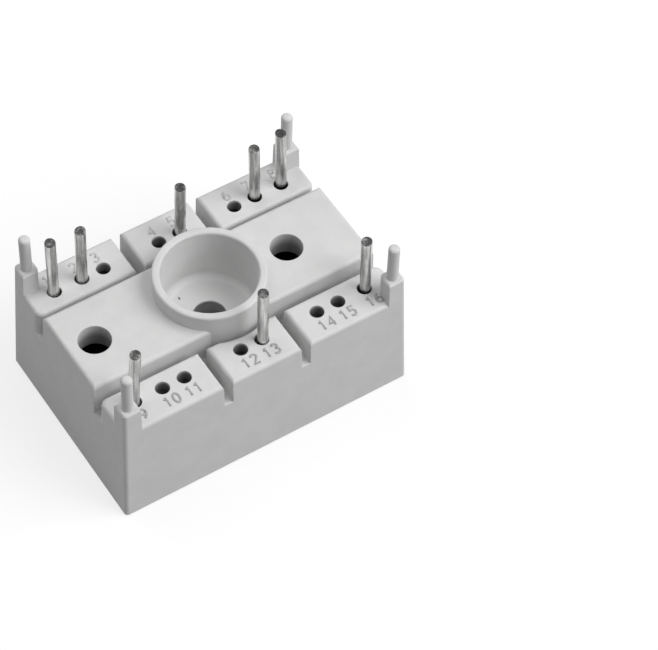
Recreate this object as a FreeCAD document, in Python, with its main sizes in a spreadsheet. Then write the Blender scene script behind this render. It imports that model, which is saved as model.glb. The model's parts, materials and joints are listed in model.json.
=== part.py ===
import FreeCAD, Part
import Sketcher
import os
from FreeCAD import Vector

# Single-screw rectifier module in a moulded housing with solder pins.
# Frame: +Z up, origin on the screw axis in the plane of the heatsink face,
# +X along the long side. The front row of pins (9 to 16) lies towards -Y.
# Every length is in millimetres, every angle in degrees.

doc = FreeCAD.newDocument("rectifier_module")

SIZES = {
    # Housing envelope, measured at its foot
    "length": 40.5,
    "width": 27.7,
    "shoulder_height": 19.4,
    "draft_angle": 2.0,
    "corner_round": 0.5,
    "foot_lift": 0.15,
    # Levels of the stepped top
    "plateau_top": 17.0,
    "block_top": 15.9,
    "trench_floor": 12.2,
    # Plan of the stepped top
    "plateau_width": 12.2,
    "trench_width": 1.1,
    "middle_block_length": 9.66,
    "gap_width": 1.24,
    "block_end_round": 1.0,
    "top_edge_round": 0.5,
    # Cup for the screw head
    "cup_inner_radius": 6.0,
    "cup_wall": 1.05,
    "cup_floor": 11.0,
    "cup_floor_slope": 0.8,
    "cup_rim_bevel": 0.4,
    "cup_moat_width": 0.8,
    "screw_hole_radius": 2.1,
    # Corner posts and their pegs
    "post_side": 2.3,
    "post_round": 0.6,
    "post_top_bevel": 0.2,
    "peg_radius": 0.72,
    "peg_length": 5.7,
    "peg_tip_bevel": 0.35,
    # Pin holes, mirrored about both middle planes: the row from the long
    # side, the end hole from the short side, each next hole by its pitch
    "row_inset": 4.3,
    "hole_end_inset": 4.1,
    "hole_second_pitch": 3.82,
    "hole_third_pitch": 3.0,
    "hole_middle_pitch": 2.96,
    "hole_radius": 0.92,
    # Filling holes in the plateau: one from the left end, one from the cup
    "fill_radius": 2.07,
    "fill_depth": 3.5,
    "fill_left_inset": 4.25,
    "fill_right_gap": 3.92,
    # Inside of the housing
    "foot_wall": 1.3,
    "ledge_width": 0.8,
    "cavity_ceiling": 9.3,
    "block_wall": 1.3,
    "block_roof": 1.8,
    "plateau_roof": 1.7,
    "tube_radius": 3.7,
    # Substrate: copper foil, ceramic, copper lands
    "foil_thickness": 0.3,
    "ceramic_thickness": 0.63,
    "ceramic_clearance": 0.1,
    "foil_margin": 0.8,
    "substrate_hole_radius": 2.4,
    "land_margin": 0.5,
    "land_depth": 6.6,
    "land_split": 0.8,
    # Solder pins: bare wire inside the housing, tinned where it stands free
    "wire_radius": 0.69,
    "pin_radius": 0.72,
    "pin_length": 9.3,
    # Diode chips
    "chip_side": 3.2,
    "chip_thickness": 0.3,
    "chip_margin": 0.35,
    # Potting compound
    "potting_level": 6.5,
}

sheet = doc.addObject("Spreadsheet::Sheet", "Sizes")
for row, (alias, value) in enumerate(SIZES.items(), start=1):
    sheet.set(f"A{row}", alias.replace("_", " "))
    sheet.set(f"B{row}", str(value))
    sheet.setAlias(f"B{row}", alias)
doc.recompute()


def size(name):
    """The sheet's value of one size."""
    return float(getattr(sheet, name))


def reading(expression):
    """The value of an expression on the sheet."""
    return float(sheet.evalExpression(expression.replace("Sizes.", "")))


# Lengths that several features share, as expressions on the sheet
HALF_LENGTH = "Sizes.length / 2"
HALF_WIDTH = "Sizes.width / 2"
SHOULDER_INSET = "Sizes.shoulder_height * tan(Sizes.draft_angle)"
POST_INNER_X = f"({HALF_LENGTH} - {SHOULDER_INSET} - Sizes.post_side)"
POST_INNER_Y = f"({HALF_WIDTH} - {SHOULDER_INSET} - Sizes.post_side)"
PEG_X = f"({POST_INNER_X} + Sizes.post_side / 2)"
PEG_Y = f"({POST_INNER_Y} + Sizes.post_side / 2)"
PLATEAU_EDGE = "Sizes.plateau_width / 2"
ROW_Y = f"({HALF_WIDTH} - Sizes.row_inset)"
HOLE_END = f"({HALF_LENGTH} - Sizes.hole_end_inset)"
HOLE_SECOND = f"({HOLE_END} - Sizes.hole_second_pitch)"
HOLE_THIRD = f"({HOLE_SECOND} - Sizes.hole_third_pitch)"
HOLE_MIDDLE = "(Sizes.hole_middle_pitch / 2)"
FILL_LEFT = f"({HALF_LENGTH} - Sizes.fill_left_inset)"
CUP_OUTER = "(Sizes.cup_inner_radius + Sizes.cup_wall)"
FILL_RIGHT = f"({CUP_OUTER} + Sizes.fill_right_gap)"
BLOCK_EDGE = "(Sizes.plateau_width / 2 + Sizes.trench_width)"
GAP_INNER = "(Sizes.middle_block_length / 2)"
GAP_OUTER = "(Sizes.middle_block_length / 2 + Sizes.gap_width)"
MOAT_RADIUS = f"({CUP_OUTER} + Sizes.cup_moat_width)"
# The walls beside the pin holes and beside the moat limit the rounding of the blocks
HOLE_LAND = f"({ROW_Y} - Sizes.hole_radius - {BLOCK_EDGE})"
MOAT_LAND = f"({GAP_INNER} - sqrt(max({MOAT_RADIUS} ^ 2 - {BLOCK_EDGE} ^ 2; 0)))"
BLOCK_ROUND = f"min(Sizes.top_edge_round; {HOLE_LAND} / 2; {MOAT_LAND} / 2)"
RECESS_X = f"({HALF_LENGTH} - Sizes.foot_wall)"
RECESS_Y = f"({HALF_WIDTH} - Sizes.foot_wall)"
CAVITY_X = f"({RECESS_X} - Sizes.ledge_width)"
CAVITY_Y = f"({RECESS_Y} - Sizes.ledge_width)"
CERAMIC_TOP = "(Sizes.foil_thickness + Sizes.ceramic_thickness)"
LAND_TOP = f"({CERAMIC_TOP} + Sizes.foil_thickness)"


def origin_plane(body, role):
    """One of the body's own origin planes."""
    return next(item for item in body.Origin.OriginFeatures if item.Role == role)


def add_body(label):
    """An empty body whose label names its file."""
    body = doc.addObject("PartDesign::Body", label)
    body.Label = label
    return body


def add_sketch(body, name, level="0", role="XY_Plane"):
    """A sketch on one of the body's origin planes, lifted to a level."""
    sketch = body.newObject("Sketcher::SketchObject", name)
    sketch.AttachmentSupport = (origin_plane(body, role), [""])
    sketch.MapMode = "FlatFace"
    sketch.setExpression("AttachmentOffset.Base.z", level)
    return sketch


def place_point(sketch, edge, point, kind, expression):
    """Ties a point of the sketch to its signed distance from the origin."""
    value = sketch.evalExpression(expression)
    if value < 0:
        index = sketch.addConstraint(Sketcher.Constraint(kind, edge, point, -1, 1, -value))
        sketch.setExpression(f"Constraints[{index}]", f"-({expression})")
    elif value > 0:
        index = sketch.addConstraint(Sketcher.Constraint(kind, -1, 1, edge, point, value))
        sketch.setExpression(f"Constraints[{index}]", expression)
    else:
        axis = -2 if kind == "DistanceX" else -1
        sketch.addConstraint(Sketcher.Constraint("PointOnObject", edge, point, axis))


def draw_outline(sketch, corners):
    """A closed outline through corners given as (x, y) expressions."""
    points = [Vector(sketch.evalExpression(x), sketch.evalExpression(y), 0) for x, y in corners]
    first = sketch.GeometryCount
    count = len(points)
    for i in range(count):
        sketch.addGeometry(Part.LineSegment(points[i], points[(i + 1) % count]), False)
    for i in range(count):
        sketch.addConstraint(Sketcher.Constraint("Coincident", first + i, 2, first + (i + 1) % count, 1))
    for i, (x, y) in enumerate(corners):
        place_point(sketch, first + i, 1, "DistanceX", x)
        place_point(sketch, first + i, 1, "DistanceY", y)


def draw_rectangle(sketch, left, front, right, back):
    """A rectangle between two x and two y expressions."""
    draw_outline(sketch, [(left, front), (right, front), (right, back), (left, back)])


def draw_circle(sketch, x, y, radius):
    """A circle with its centre and radius given as expressions."""
    centre = Vector(sketch.evalExpression(x), sketch.evalExpression(y), 0)
    circle = sketch.addGeometry(Part.Circle(centre, Vector(0, 0, 1), sketch.evalExpression(radius)), False)
    index = sketch.addConstraint(Sketcher.Constraint("Radius", circle, sketch.evalExpression(radius)))
    sketch.setExpression(f"Constraints[{index}]", radius)
    place_point(sketch, circle, 3, "DistanceX", x)
    place_point(sketch, circle, 3, "DistanceY", y)


def add_pad(body, name, sketch, length):
    pad = body.newObject("PartDesign::Pad", name)
    pad.Profile = sketch
    pad.setExpression("Length", length)
    doc.recompute()
    return pad


def add_pocket(body, name, sketch, depth=None, upward=False):
    """A pocket below its sketch, or above it when upward; through all without a depth."""
    before = body.Shape.Volume
    pocket = body.newObject("PartDesign::Pocket", name)
    pocket.Profile = sketch
    pocket.Reversed = upward
    if depth is None:
        pocket.Type = "ThroughAll"
    else:
        pocket.setExpression("Length", depth)
    doc.recompute()
    if body.Shape.Volume >= before:
        raise RuntimeError(f"{name} cuts nothing")
    return pocket


def add_fillet(body, name, chosen, radius):
    """Rounds the edges of the tip that a test chooses."""
    tip = body.Tip
    edges = [f"Edge{i}" for i, edge in enumerate(tip.Shape.Edges, start=1) if chosen(edge)]
    if not edges:
        raise RuntimeError(f"{name} finds no edge")
    fillet = body.newObject("PartDesign::Fillet", name)
    fillet.Base = (tip, edges)
    fillet.setExpression("Radius", radius)
    doc.recompute()
    if "Invalid" in fillet.State or fillet.Shape.isNull():
        raise RuntimeError(f"{name} fails on {edges}")
    return fillet


def add_chamfer(body, name, chosen, width):
    """Bevels the edges of the tip that a test chooses."""
    tip = body.Tip
    edges = [f"Edge{i}" for i, edge in enumerate(tip.Shape.Edges, start=1) if chosen(edge)]
    if not edges:
        raise RuntimeError(f"{name} finds no edge")
    chamfer = body.newObject("PartDesign::Chamfer", name)
    chamfer.Base = (tip, edges)
    chamfer.setExpression("Size", width)
    doc.recompute()
    if "Invalid" in chamfer.State or chamfer.Shape.isNull():
        raise RuntimeError(f"{name} fails on {edges}")
    return chamfer


def near(value, target, slack=0.02):
    return abs(value - target) < slack


def ends(edge):
    return [vertex.Point for vertex in edge.Vertexes]


def at_level(edge, level):
    box = edge.BoundBox
    return near(box.ZMin, level) and near(box.ZMax, level)


# Housing: one injection moulding. The outer faces carry the mould's draft up
# to the corner posts, and the stepped top is cut down from the post shoulders.
housing = add_body("housing")

envelope = add_sketch(housing, "envelope_outline", "Sizes.foot_lift")
draw_rectangle(envelope, f"-{HALF_LENGTH}", f"-{HALF_WIDTH}", HALF_LENGTH, HALF_WIDTH)
block = add_pad(housing, "envelope", envelope, "Sizes.shoulder_height - Sizes.foot_lift")
sides = [f"Face{i}" for i, face in enumerate(block.Shape.Faces, start=1) if face.BoundBox.ZLength > 1]
draft = housing.newObject("PartDesign::Draft", "mould_draft")
draft.Base = (block, sides)
draft.NeutralPlane = (origin_plane(housing, "XY_Plane"), [""])
draft.setExpression("Angle", "Sizes.draft_angle")
doc.recompute()
if draft.Shape.BoundBox.XLength > size("length") + 0.01:
    raise RuntimeError("the draft widens the housing upward")

add_fillet(
    housing,
    "outer_corners",
    lambda edge: abs(edge.BoundBox.ZLength - size("shoulder_height") + size("foot_lift")) < 0.02,
    "Sizes.corner_round",
)

# Everything between the four corner posts comes down to the plateau
shoulder_relief = add_sketch(housing, "shoulder_relief_outline", "Sizes.shoulder_height")
far_x, far_y = "Sizes.length", "Sizes.width"
draw_outline(
    shoulder_relief,
    [
        (f"-{far_x}", f"-{POST_INNER_Y}"),
        (f"-{POST_INNER_X}", f"-{POST_INNER_Y}"),
        (f"-{POST_INNER_X}", f"-{far_y}"),
        (POST_INNER_X, f"-{far_y}"),
        (POST_INNER_X, f"-{POST_INNER_Y}"),
        (far_x, f"-{POST_INNER_Y}"),
        (far_x, POST_INNER_Y),
        (POST_INNER_X, POST_INNER_Y),
        (POST_INNER_X, far_y),
        (f"-{POST_INNER_X}", far_y),
        (f"-{POST_INNER_X}", POST_INNER_Y),
        (f"-{far_x}", POST_INNER_Y),
    ],
)
add_pocket(housing, "shoulder_relief", shoulder_relief, "Sizes.shoulder_height - Sizes.plateau_top")

# Front pin blocks: a step below the plateau, a moat that follows the cup, a
# trench along the plateau and two gaps between the blocks
block_step = add_sketch(housing, "block_step_outline", "Sizes.plateau_top")
draw_outline(
    block_step,
    [
        (f"-{far_x}", f"-{PLATEAU_EDGE}"),
        (f"-{far_x}", f"-{POST_INNER_Y}"),
        (f"-{POST_INNER_X}", f"-{POST_INNER_Y}"),
        (f"-{POST_INNER_X}", f"-{far_y}"),
        (POST_INNER_X, f"-{far_y}"),
        (POST_INNER_X, f"-{POST_INNER_Y}"),
        (far_x, f"-{POST_INNER_Y}"),
        (far_x, f"-{PLATEAU_EDGE}"),
    ],
)
front_step = add_pocket(housing, "block_step", block_step, "Sizes.plateau_top - Sizes.block_top")

moat = add_sketch(housing, "moat_outline", "Sizes.block_top")
moat_half = f"sqrt({MOAT_RADIUS} ^ 2 - {PLATEAU_EDGE} ^ 2)"
half, edge_y = moat.evalExpression(moat_half), -moat.evalExpression(PLATEAU_EDGE)
radius = moat.evalExpression(MOAT_RADIUS)
arc = moat.addGeometry(
    Part.Arc(Vector(-half, edge_y, 0), Vector(0, -radius, 0), Vector(half, edge_y, 0)), False
)
chord = moat.addGeometry(Part.LineSegment(Vector(half, edge_y, 0), Vector(-half, edge_y, 0)), False)
moat.addConstraint(Sketcher.Constraint("Coincident", arc, 2, chord, 1))
moat.addConstraint(Sketcher.Constraint("Coincident", chord, 2, arc, 1))
moat.addConstraint(Sketcher.Constraint("Coincident", arc, 3, -1, 1))
moat.addConstraint(Sketcher.Constraint("Horizontal", chord))
index = moat.addConstraint(Sketcher.Constraint("Radius", arc, radius))
moat.setExpression(f"Constraints[{index}]", MOAT_RADIUS)
place_point(moat, chord, 1, "DistanceY", f"-{PLATEAU_EDGE}")
front_moat = add_pocket(housing, "moat", moat, "Sizes.block_top - Sizes.trench_floor")

trench = add_sketch(housing, "trench_outline", "Sizes.block_top")
draw_rectangle(trench, f"-{far_x}", f"-{BLOCK_EDGE}", far_x, f"-{PLATEAU_EDGE}")
front_trench = add_pocket(housing, "trench", trench, "Sizes.block_top - Sizes.trench_floor")

gaps = add_sketch(housing, "gap_outlines", "Sizes.block_top")
draw_rectangle(gaps, f"-{GAP_OUTER}", f"-{far_y}", f"-{GAP_INNER}", f"-{BLOCK_EDGE}")
draw_rectangle(gaps, GAP_INNER, f"-{far_y}", GAP_OUTER, f"-{BLOCK_EDGE}")
front_gaps = add_pocket(housing, "gaps", gaps, "Sizes.block_top - Sizes.trench_floor")

# Cavity from below: a recess for the ceramic, the main space round the screw
# tube, and cores that keep the roofs of blocks and plateau even
recess = add_sketch(housing, "recess_outline", "Sizes.foot_lift")
draw_rectangle(recess, f"-{RECESS_X}", f"-{RECESS_Y}", RECESS_X, RECESS_Y)
add_pocket(housing, "recess", recess, f"{CERAMIC_TOP} - Sizes.foot_lift", upward=True)

cavity = add_sketch(housing, "cavity_outline", CERAMIC_TOP)
draw_rectangle(cavity, f"-{CAVITY_X}", f"-{CAVITY_Y}", CAVITY_X, CAVITY_Y)
draw_circle(cavity, "0", "0", "Sizes.tube_radius")
add_pocket(housing, "cavity", cavity, f"Sizes.cavity_ceiling - {CERAMIC_TOP}", upward=True)

core_front, core_back = f"-{CAVITY_Y}", f"-({BLOCK_EDGE} + Sizes.block_wall)"
block_cores = add_sketch(housing, "block_core_outlines", "Sizes.cavity_ceiling")
draw_rectangle(block_cores, f"-{CAVITY_X}", core_front, f"-({GAP_OUTER} + Sizes.block_wall)", core_back)
draw_rectangle(
    block_cores,
    f"-({GAP_INNER} - Sizes.block_wall)",
    core_front,
    f"({GAP_INNER} - Sizes.block_wall)",
    core_back,
)
draw_rectangle(block_cores, f"({GAP_OUTER} + Sizes.block_wall)", core_front, CAVITY_X, core_back)
front_cores = add_pocket(
    housing,
    "block_cores",
    block_cores,
    "Sizes.block_top - Sizes.block_roof - Sizes.cavity_ceiling",
    upward=True,
)

# Pin holes through the roofs of the front blocks
pin_holes = add_sketch(housing, "pin_hole_outlines", "Sizes.block_top")
for place in (HOLE_END, HOLE_SECOND, HOLE_THIRD, HOLE_MIDDLE):
    for side in ("-", ""):
        draw_circle(pin_holes, f"{side}{place}", f"-{ROW_Y}", "Sizes.hole_radius")
front_holes = add_pocket(housing, "pin_holes", pin_holes, "Sizes.block_top - Sizes.cavity_ceiling")

# The back row repeats the front one
back_row = housing.newObject("PartDesign::Mirrored", "back_row")
back_row.Originals = [front_step, front_moat, front_trench, front_gaps, front_cores, front_holes]
back_row.MirrorPlane = (origin_plane(housing, "XZ_Plane"), [""])
housing.Tip = back_row
doc.recompute()

plateau_cores = add_sketch(housing, "plateau_core_outlines", "Sizes.cavity_ceiling")
core_x, core_y = f"({CUP_OUTER} + Sizes.block_wall)", f"({PLATEAU_EDGE} - Sizes.block_wall)"
draw_rectangle(plateau_cores, f"-{CAVITY_X}", f"-{core_y}", f"-{core_x}", core_y)
draw_rectangle(plateau_cores, core_x, f"-{core_y}", CAVITY_X, core_y)
add_pocket(
    housing,
    "plateau_cores",
    plateau_cores,
    "Sizes.plateau_top - Sizes.plateau_roof - Sizes.cavity_ceiling",
    upward=True,
)

# Filling holes: a collar under the roof lengthens each one
fill_collars = add_sketch(housing, "fill_collar_outlines", "Sizes.plateau_top - Sizes.fill_depth")
draw_circle(fill_collars, f"-{FILL_LEFT}", "0", "Sizes.fill_radius + Sizes.block_wall")
draw_circle(fill_collars, FILL_RIGHT, "0", "Sizes.fill_radius + Sizes.block_wall")
add_pad(housing, "fill_collars", fill_collars, "Sizes.fill_depth - Sizes.plateau_roof")
fill_holes = add_sketch(housing, "fill_hole_outlines", "Sizes.plateau_top")
draw_circle(fill_holes, f"-{FILL_LEFT}", "0", "Sizes.fill_radius")
draw_circle(fill_holes, FILL_RIGHT, "0", "Sizes.fill_radius")
add_pocket(housing, "fill_holes", fill_holes, "Sizes.plateau_top - Sizes.cavity_ceiling")

# Cup: its wall stands in the moat and ends level with the post shoulders
cup = add_sketch(housing, "cup_outline", "Sizes.trench_floor")
draw_circle(cup, "0", "0", CUP_OUTER)
add_pad(housing, "cup", cup, "Sizes.shoulder_height - Sizes.trench_floor")
cup_bore = add_sketch(housing, "cup_bore_outline", "Sizes.shoulder_height")
draw_circle(cup_bore, "0", "0", "Sizes.cup_inner_radius")
add_pocket(housing, "cup_bore", cup_bore, "Sizes.shoulder_height - Sizes.cup_floor")
screw_hole = add_sketch(housing, "screw_hole_outline", "Sizes.cup_floor")
draw_circle(screw_hole, "0", "0", "Sizes.screw_hole_radius")
add_pocket(housing, "screw_hole", screw_hole)

# Pegs that locate the board
pegs = add_sketch(housing, "peg_outlines", "Sizes.shoulder_height")
for side_x in ("-", ""):
    for side_y in ("-", ""):
        draw_circle(pegs, f"{side_x}{PEG_X}", f"{side_y}{PEG_Y}", "Sizes.peg_radius")
add_pad(housing, "pegs", pegs, "Sizes.peg_length")

# Roundings: block ends and posts in plan, then the edges that face up
block_edge, end_hole = reading(BLOCK_EDGE), reading(HOLE_END)
add_fillet(
    housing,
    "block_ends",
    lambda edge: edge.BoundBox.ZLength > 1
    and all(near(abs(p.y), block_edge) and abs(p.x) > end_hole for p in ends(edge)),
    "Sizes.block_end_round",
)


def in_post(point):
    """True over a corner post and the rounding at its foot."""
    spread = size("post_round") + 0.02
    return abs(point.x) > post_x - spread and abs(point.y) > post_y - spread


def middle(edge):
    return edge.valueAt((edge.FirstParameter + edge.LastParameter) / 2)


def is_circle(edge, radius):
    curve = edge.Curve
    return isinstance(curve, Part.Circle) and near(curve.Radius, radius)


post_x, post_y = reading(POST_INNER_X), reading(POST_INNER_Y)
cup_outer = reading(CUP_OUTER)
add_fillet(
    housing,
    "post_corners",
    lambda edge: edge.BoundBox.ZLength > 1
    and all(near(abs(p.x), post_x) and near(abs(p.y), post_y) for p in ends(edge)),
    "Sizes.post_round",
)
add_fillet(
    housing,
    "block_tops",
    lambda edge: at_level(edge, size("block_top"))
    and not in_post(middle(edge))
    and not is_circle(edge, size("hole_radius")),
    BLOCK_ROUND,
)
add_fillet(
    housing,
    "plateau_tops",
    lambda edge: at_level(edge, size("plateau_top"))
    and not is_circle(edge, size("fill_radius"))
    and not is_circle(edge, cup_outer),
    "Sizes.top_edge_round",
)
# Bevels on the turned edges: cup, shoulders and peg tips
add_chamfer(
    housing,
    "cup_rim",
    lambda edge: at_level(edge, size("shoulder_height"))
    and (is_circle(edge, cup_outer) or is_circle(edge, size("cup_inner_radius"))),
    "Sizes.cup_rim_bevel",
)
add_chamfer(
    housing,
    "cup_floor_slopes",
    lambda edge: at_level(edge, size("cup_floor")) and is_circle(edge, size("cup_inner_radius")),
    "Sizes.cup_floor_slope",
)
add_chamfer(
    housing,
    "post_tops",
    lambda edge: at_level(edge, size("shoulder_height"))
    and in_post(middle(edge))
    and not is_circle(edge, size("peg_radius")),
    "Sizes.post_top_bevel",
)
add_chamfer(
    housing,
    "peg_tips",
    lambda edge: at_level(edge, size("shoulder_height") + size("peg_length")),
    "Sizes.peg_tip_bevel",
)

doc.recompute()

# Substrate: a ceramic tile with copper on both faces. The lower foil is the
# heatsink face, the tile carries the ledge and the screw tube of the housing.
def add_plate(label, half_x, half_y, bottom, thickness):
    """A rectangular plate round the screw."""
    plate = add_body(label)
    sketch = add_sketch(plate, f"{label}_outline", bottom)
    draw_rectangle(sketch, f"-{half_x}", f"-{half_y}", half_x, half_y)
    draw_circle(sketch, "0", "0", "Sizes.substrate_hole_radius")
    add_pad(plate, f"{label}_pad", sketch, thickness)
    return plate


CERAMIC_X = f"({RECESS_X} - Sizes.ceramic_clearance)"
CERAMIC_Y = f"({RECESS_Y} - Sizes.ceramic_clearance)"
base_foil = add_plate(
    "base_foil",
    f"({CERAMIC_X} - Sizes.foil_margin)",
    f"({CERAMIC_Y} - Sizes.foil_margin)",
    "0",
    "Sizes.foil_thickness",
)
ceramic = add_plate("ceramic_tile", CERAMIC_X, CERAMIC_Y, "Sizes.foil_thickness", "Sizes.ceramic_thickness")

# Copper lands: one for each pole in the back row, one for each phase in front
LAND_END = f"({CAVITY_X} - Sizes.land_margin)"
LAND_OUTER_Y = f"({CAVITY_Y} - Sizes.land_margin)"
LAND_INNER_Y = f"({LAND_OUTER_Y} - Sizes.land_depth)"
GAP_MIDDLE = f"({GAP_INNER} + Sizes.gap_width / 2)"
HALF_SPLIT = "Sizes.land_split / 2"
LANDS = {
    "land_minus": (f"-{LAND_END}", f"-{HALF_SPLIT}", LAND_INNER_Y, LAND_OUTER_Y),
    "land_plus": (HALF_SPLIT, LAND_END, LAND_INNER_Y, LAND_OUTER_Y),
    "land_phase_1": (
        f"-{LAND_END}",
        f"-({GAP_MIDDLE} + {HALF_SPLIT})",
        f"-{LAND_OUTER_Y}",
        f"-{LAND_INNER_Y}",
    ),
    "land_phase_2": (
        f"-({GAP_MIDDLE} - {HALF_SPLIT})",
        f"({GAP_MIDDLE} - {HALF_SPLIT})",
        f"-{LAND_OUTER_Y}",
        f"-{LAND_INNER_Y}",
    ),
    "land_phase_3": (f"({GAP_MIDDLE} + {HALF_SPLIT})", LAND_END, f"-{LAND_OUTER_Y}", f"-{LAND_INNER_Y}"),
}
lands = []
for label, (left, right, front, back) in LANDS.items():
    land = add_body(label)
    sketch = add_sketch(land, f"{label}_outline", CERAMIC_TOP)
    draw_rectangle(sketch, left, front, right, back)
    add_pad(land, f"{label}_pad", sketch, "Sizes.foil_thickness")
    lands.append(land)

# Diode chips: three spread evenly over the plus land, one on each phase land
CHIP_Y = f"({LAND_INNER_Y} + Sizes.chip_margin + Sizes.chip_side / 2)"
PLUS_SPAN = f"({LAND_END} - {HALF_SPLIT})"
CHIPS = [(f"({HALF_SPLIT} + {PLUS_SPAN} * {share})", CHIP_Y) for share in ("1 / 6", "1 / 2", "5 / 6")]
CHIPS += [(x, f"-{CHIP_Y}") for x in (f"-{HOLE_SECOND}", "0", HOLE_SECOND)]
chips = []
for number, (x, y) in enumerate(CHIPS, start=1):
    chip = doc.addObject("Part::Box", f"diode_chip_{number}")
    chip.Label = f"diode_chip_{number}"
    chip.setExpression("Length", "Sizes.chip_side")
    chip.setExpression("Width", "Sizes.chip_side")
    chip.setExpression("Height", "Sizes.chip_thickness")
    chip.setExpression("Placement.Base.x", f"{x} - Sizes.chip_side / 2")
    chip.setExpression("Placement.Base.y", f"{y} - Sizes.chip_side / 2")
    chip.setExpression("Placement.Base.z", LAND_TOP)
    chips.append(chip)

# Solder pins: copper wire that stands on its land and comes up through a pin
# hole with clearance all round; from the block top on it is tinned, up to the
# square cut end
PINS = {
    1: (f"-{HOLE_END}", ROW_Y),
    2: (f"-{HOLE_SECOND}", ROW_Y),
    5: (HOLE_MIDDLE, ROW_Y),
    7: (HOLE_SECOND, ROW_Y),
    8: (HOLE_END, ROW_Y),
    9: (f"-{HOLE_END}", f"-{ROW_Y}"),
    13: (HOLE_MIDDLE, f"-{ROW_Y}"),
    16: (HOLE_END, f"-{ROW_Y}"),
}
PIN_TOP = "(Sizes.block_top + Sizes.pin_length)"


def add_turned(label, corners, x, y):
    """A body of revolution about an upright axis through (x, y)."""
    body = add_body(label)
    sketch = add_sketch(body, f"{label}_profile", "0", "XZ_Plane")
    draw_outline(sketch, corners)
    turned = body.newObject("PartDesign::Revolution", f"{label}_turned")
    turned.Profile = sketch
    turned.ReferenceAxis = (sketch, ["V_Axis"])
    turned.Angle = 360
    body.setExpression("Placement.Base.x", x)
    body.setExpression("Placement.Base.y", y)
    doc.recompute()
    return body


pins = []
for number, (x, y) in PINS.items():
    pin = add_turned(
        f"pin_{number}",
        [
            ("Sizes.pin_radius", "Sizes.block_top"),
            ("Sizes.pin_radius", PIN_TOP),
            ("0", PIN_TOP),
            ("0", LAND_TOP),
            ("Sizes.wire_radius", LAND_TOP),
            ("Sizes.wire_radius", "Sizes.block_top"),
        ],
        x,
        y,
    )
    pins.append(pin)

# Potting compound: fills the lower part of the cavity round all that stands in it
potting_block = add_body("potting_block")
potting_outline = add_sketch(potting_block, "potting_outline", CERAMIC_TOP)
draw_rectangle(potting_outline, f"-{CAVITY_X}", f"-{CAVITY_Y}", CAVITY_X, CAVITY_Y)
draw_circle(potting_outline, "0", "0", "Sizes.tube_radius")
add_pad(potting_block, "potting_pad", potting_outline, f"Sizes.potting_level - {CERAMIC_TOP}")
embedded = doc.addObject("Part::Compound", "embedded")
embedded.Links = lands + chips + pins
potting = doc.addObject("Part::Cut", "potting")
potting.Label = "potting"
potting.Base = potting_block
potting.Tool = embedded
doc.recompute()

for item in doc.Objects:
    if "Invalid" in item.State or "Error" in item.State:
        raise RuntimeError(f"{item.Label} failed: {item.State}")

nodes = [housing, base_foil, ceramic] + lands + chips + pins + [potting]
for node in nodes:
    if node.Shape.isNull() or not node.Shape.isValid():
        raise RuntimeError(f"{node.Label} has no valid shape")

os.makedirs("parts", exist_ok=True)
for node in nodes:
    node.Shape.exportStep(f"parts/{node.Label}.step")
    print(node.Label, len(node.Shape.Solids), "solid", round(node.Shape.Volume, 2), "mm3")
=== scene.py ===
import json
import math
import random

import bmesh
import bpy
from mathutils import Matrix, Vector


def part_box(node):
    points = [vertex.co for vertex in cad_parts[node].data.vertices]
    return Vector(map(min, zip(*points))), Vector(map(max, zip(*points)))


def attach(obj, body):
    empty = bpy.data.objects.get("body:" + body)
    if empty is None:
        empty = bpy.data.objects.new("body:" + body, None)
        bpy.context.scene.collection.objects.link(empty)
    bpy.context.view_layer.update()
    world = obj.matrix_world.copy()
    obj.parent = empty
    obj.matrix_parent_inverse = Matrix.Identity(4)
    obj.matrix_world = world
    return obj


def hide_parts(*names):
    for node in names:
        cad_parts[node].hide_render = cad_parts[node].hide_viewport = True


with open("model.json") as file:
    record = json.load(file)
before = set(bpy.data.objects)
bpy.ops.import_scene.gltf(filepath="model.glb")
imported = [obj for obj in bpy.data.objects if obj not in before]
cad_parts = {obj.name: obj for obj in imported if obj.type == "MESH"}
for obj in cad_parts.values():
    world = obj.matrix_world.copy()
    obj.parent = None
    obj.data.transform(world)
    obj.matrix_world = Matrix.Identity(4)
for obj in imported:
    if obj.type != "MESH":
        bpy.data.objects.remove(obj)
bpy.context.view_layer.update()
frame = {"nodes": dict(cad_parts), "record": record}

# Housing: one injection moulding of light grey, glass-filled polyester. The
# mould's spark-eroded steel leaves a fine matt grain on it, and the resin
# freezes with faint cloudy flow marks. Its colour carries painted shade on the
# walls inside its holes, painted light on the cup's floor and painted
# highlights along its edges.
MM = 0.001
nodes = frame["nodes"]
mounts = {mount["name"]: mount for mount in frame["record"]["mounts"]}
PLASTIC = (0.665, 0.665, 0.663, 1.0)
PLASTIC_CLOUDED = (0.625, 0.625, 0.623, 1.0)
# Painted light: the paler colour of the edges, as painted highlights, and of the cup's floor
PLASTIC_PAINTED_LIGHT = (0.80, 0.80, 0.798, 1.0)
# Painted shade: the dark colour of the walls inside the holes
PLASTIC_PAINTED_SHADE = (0.20, 0.20, 0.20, 1.0)
PLASTIC_ROUGHNESS = (0.46, 0.6)
GRAIN_SIZE = 0.09 * MM
GRAIN_DEPTH = 0.02 * MM
GRAIN_RELIEF = 0.12
CLOUD_SIZE = 2.5 * MM
EDGE_ROUND = 0.12 * MM
EDGE_LIKENESS = 0.7
# How pale the painted highlights on the edges and the painted light on the cup's floor get
EDGE_PAINTED_HIGHLIGHT = 0.5
FLOOR_PAINTED_LIGHT = 0.95

# The part of a noise's values that is spread from one end of a finish to the other
GRAIN_SPAN = (0.3, 0.7)
CLOUD_SPAN = (0.35, 0.7)

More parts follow.
